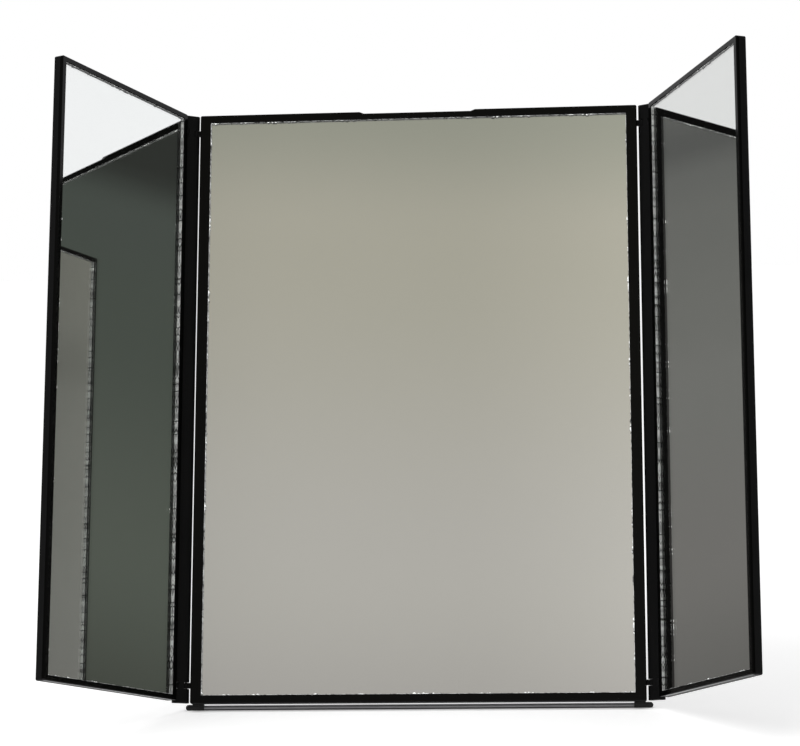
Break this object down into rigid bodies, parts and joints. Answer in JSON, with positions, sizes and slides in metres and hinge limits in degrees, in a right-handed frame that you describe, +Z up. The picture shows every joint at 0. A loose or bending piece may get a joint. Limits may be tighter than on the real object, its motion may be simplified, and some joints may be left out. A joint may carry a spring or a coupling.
{
  "type": "folding table mirror",
  "caption": "Folding table mirror: a tall mirror in a slim glossy black frame, a mirror wing on a double hinge at each side, and a folding wire stand behind.",
  "frame": {"origin": "on the table, below the middle of the whole mirror's bounding box", "axes": "+Z up, +X towards the mirror's right wing as the user sees it, and +Y away from the user, so the glass faces -Y"},
  "size_m": [0.2954, 0.1957, 0.2884],
  "materials": {
    "black_gloss": "glossy",
    "black_satin": "glossy with a fine grain in the sunk field",
    "mirror_glass": "silvered glass",
    "foam_tape": "foam mounting tape",
    "steel": "zinc plated",
    "stand_steel": "plated",
    "bar_steel": "satin plated",
    "rubber": "matt"
  },
  "bodies": {
    "centre_panel": {"centre_bezel": "black_gloss", "centre_glass": "mirror_glass", "centre_tape": "foam_tape", "centre_shell": "black_satin", "left_stand_bracket": "black_satin", "right_stand_bracket": "black_satin", "bracket_screws": "steel", "foot_bar": "bar_steel", "left_foot": "rubber", "right_foot": "rubber", "foot_screws": "steel"},
    "left_link": {"left_link": "black_gloss", "left_frame_pins": "steel", "left_wing_pins": "steel"},
    "right_link": {"right_link": "black_gloss", "right_frame_pins": "steel", "right_wing_pins": "steel"},
    "left_wing": {"left_wing_bezel": "black_gloss", "left_wing_glass": "mirror_glass", "left_wing_tape": "foam_tape", "left_wing_shell": "black_satin"},
    "right_wing": {"right_wing_bezel": "black_gloss", "right_wing_glass": "mirror_glass", "right_wing_tape": "foam_tape", "right_wing_shell": "black_satin"},
    "stand": {"stand_wire": "stand_steel", "stand_sleeves": "rubber"}
  },
  "joints": [
    {"name": "left_frame_hinge", "type": "hinge", "parent": "centre_panel", "child": "left_link", "pos_m": [-0.10072, 0.02901, 0.13315], "axis": [0, 0.2756, 0.9613], "range_deg": [-26.3, 63.7]},
    {"name": "left_wing_hinge", "type": "hinge", "parent": "left_link", "child": "left_wing", "pos_m": [-0.10512, 0.02692, 0.13374], "axis": [0, 0.2756, 0.9613], "range_deg": [-39.3, 50.7]},
    {"name": "right_frame_hinge", "type": "hinge", "parent": "centre_panel", "child": "right_link", "pos_m": [0.10368, 0.02901, 0.13315], "axis": [0, -0.2756, -0.9613], "range_deg": [-26.3, 63.7]},
    {"name": "right_wing_hinge", "type": "hinge", "parent": "right_link", "child": "right_wing", "pos_m": [0.10807, 0.02692, 0.13374], "axis": [0, -0.2756, -0.9613], "range_deg": [-41.2, 48.8]},
    {"name": "stand_pivot", "type": "hinge", "parent": "centre_panel", "child": "stand", "pos_m": [0.00148, 0.04987, 0.17814], "axis": [1, 0, 0], "range_deg": [-30.6, 0]}
  ]
}
